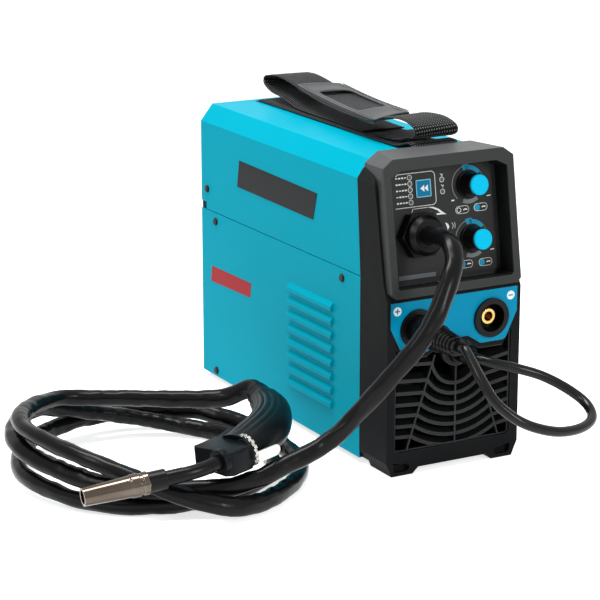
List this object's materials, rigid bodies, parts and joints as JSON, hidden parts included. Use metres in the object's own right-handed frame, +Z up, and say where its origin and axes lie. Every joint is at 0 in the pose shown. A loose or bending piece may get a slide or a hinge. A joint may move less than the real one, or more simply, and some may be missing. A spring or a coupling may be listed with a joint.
{
  "type": "mig welding machine",
  "caption": "Portable inverter MIG welder: sheet steel case, leaning control bezel, curved louvre grille, coiled torch lead, polarity lead, carrying strap and a side door over the wire spool.",
  "frame": {"origin": "middle of the base pan's flat underside, between the side panels and between front face and rear panel", "axes": "+X to the right seen from the front, -Y out of the front, +Z up; the floor is at z = -5.5 mm under the feet"},
  "size_m": [0.4587, 0.5173, 0.3102],
  "materials": {
    "case_paint": "satin teal powder coat",
    "dark_steel": "satin dark grey powder coat",
    "zinc": "bright zinc plate",
    "black_rubber": "matte",
    "front_plastic": "fine grain, near black",
    "bezel_plastic": "fine grain, dark grey",
    "panel_film": "satin overlay film, dark grey",
    "plate_blue": "satin blue plate",
    "lamp_clear": "clear domed lens",
    "button_blue": "satin",
    "knob_black": "satin black moulding",
    "cap_blue": "semi gloss",
    "brass": "machined",
    "lead_rubber": "semi matte",
    "sleeve_black": "glossy soft sleeve",
    "handle_plastic": "satin, ribbed",
    "nickel": "plain nickel plate",
    "nozzle_chrome": "polished, slightly warm",
    "copper": "bare copper alloy",
    "webbing": "woven polyester",
    "webbing_grey": "woven polyester, lighter",
    "rocker_red": "gloss",
    "spool_black": "moulded spool with wound steel wire",
    "board_green": "circuit board with heat sinks and capacitors",
    "coil_yellow": "varnished winding and core"
  },
  "bodies": {
    "case": {"base_pan": "dark_steel", "rear_feet": "black_rubber", "side_panel_left": "case_paint", "side_panel_right": "case_paint", "hood": "case_paint", "rear_panel": "dark_steel", "case_screws": "dark_steel", "door_hinges": "zinc", "front_fascia": "front_plastic", "front_grille": "front_plastic", "bezel": "bezel_plastic", "control_panel": "panel_film", "socket_plate": "plate_blue", "lamp_lenses": "lamp_clear", "minus_socket_body": "knob_black", "minus_socket_brass": "brass", "plus_socket_body": "knob_black", "plus_socket_brass": "brass", "torch_gland": "knob_black", "torch_gland_nut": "knob_black", "lead_gland": "knob_black", "polarity_lead": "lead_rubber", "polarity_plug": "knob_black", "polarity_boot": "lead_rubber", "torch_lead": "sleeve_black", "torch_coil": "sleeve_black", "torch_handle": "handle_plastic", "torch_head": "handle_plastic", "torch_hanger": "nickel", "torch_neck": "sleeve_black", "torch_insulator": "knob_black", "torch_nozzle": "nozzle_chrome", "contact_tip": "copper", "strap_web": "webbing", "strap_base": "webbing", "strap_pad": "webbing_grey", "fan_frame": "knob_black", "switch_housing": "knob_black", "mains_gland": "knob_black", "gas_inlet": "brass", "deck": "zinc", "feed_plate": "zinc", "spool_hub": "bezel_plastic", "hub_nut": "knob_black", "feed_motor": "dark_steel", "power_board": "board_green", "transformer": "coil_yellow"},
    "upper_knob": {"knob_upper": "knob_black", "knob_upper_cap": "cap_blue"},
    "lower_knob": {"knob_lower": "knob_black", "knob_lower_cap": "cap_blue"},
    "mode_key": {"mode_button": "button_blue"},
    "trigger": {"torch_trigger": "handle_plastic"},
    "side_door": {"door": "case_paint"},
    "spool": {"wire_spool": "spool_black"},
    "drive": {"drive_roller": "zinc"},
    "pressure": {"pressure_arm": "bezel_plastic"},
    "idler": {"pressure_roller": "zinc"},
    "fan": {"fan_rotor": "knob_black"},
    "rocker": {"power_rocker": "rocker_red"}
  },
  "joints": [
    {"name": "upper_knob_turn", "type": "hinge", "parent": "case", "child": "upper_knob", "pos_m": [0.031, -0.15086, 0.24612], "axis": [0, -0.9874, 0.1582], "range_deg": [-135, 135]},
    {"name": "lower_knob_turn", "type": "hinge", "parent": "case", "child": "lower_knob", "pos_m": [0.031, -0.15855, 0.19813], "axis": [0, -0.9874, 0.1582], "range_deg": [-135, 135]},
    {"name": "mode_press", "type": "slide", "parent": "case", "child": "mode_key", "axis": [0, 0.9874, -0.1582], "range_m": [0, 0.001], "stiffness_N_per_m": 400, "springref_m": -0.001},
    {"name": "trigger_press", "type": "hinge", "parent": "case", "child": "trigger", "pos_m": [-0.23145, -0.16826, 0.04644], "axis": [0.0933, 0.022, -0.9954], "range_deg": [0, 3.5], "stiffness_Nm_per_rad": 0.6, "springref_deg": -17.19},
    {"name": "door_hinge", "type": "hinge", "parent": "case", "child": "side_door", "pos_m": [0.0729, 0.015, 0.1703], "axis": [0, 1, 0], "range_deg": [0, 105]},
    {"name": "spool_spin", "type": "hinge", "parent": "case", "child": "spool", "pos_m": [-0.01, 0.066, 0.213], "axis": [1, 0, 0], "continuous": true},
    {"name": "drive_spin", "type": "hinge", "parent": "case", "child": "drive", "pos_m": [-0.025, -0.062, 0.19055], "axis": [1, 0, 0], "continuous": true},
    {"name": "pressure_lift", "type": "hinge", "parent": "case", "child": "pressure", "pos_m": [-0.034, -0.032, 0.22], "axis": [-1, 0, 0], "range_deg": [0, 45]},
    {"name": "idler_spin", "type": "hinge", "parent": "pressure", "child": "idler", "pos_m": [-0.025, -0.062, 0.21745], "axis": [1, 0, 0], "continuous": true},
    {"name": "fan_spin", "type": "hinge", "parent": "case", "child": "fan", "pos_m": [0, 0.168, 0.078], "axis": [0, 1, 0], "continuous": true},
    {"name": "power_switch", "type": "hinge", "parent": "case", "child": "rocker", "pos_m": [-0.027, 0.179, 0.214], "axis": [-1, 0, 0], "range_deg": [0, 16]}
  ],
  "couplings": [
    {"joint": "idler_spin", "follows": "drive_spin", "ratio": -1.3636}
  ]
}
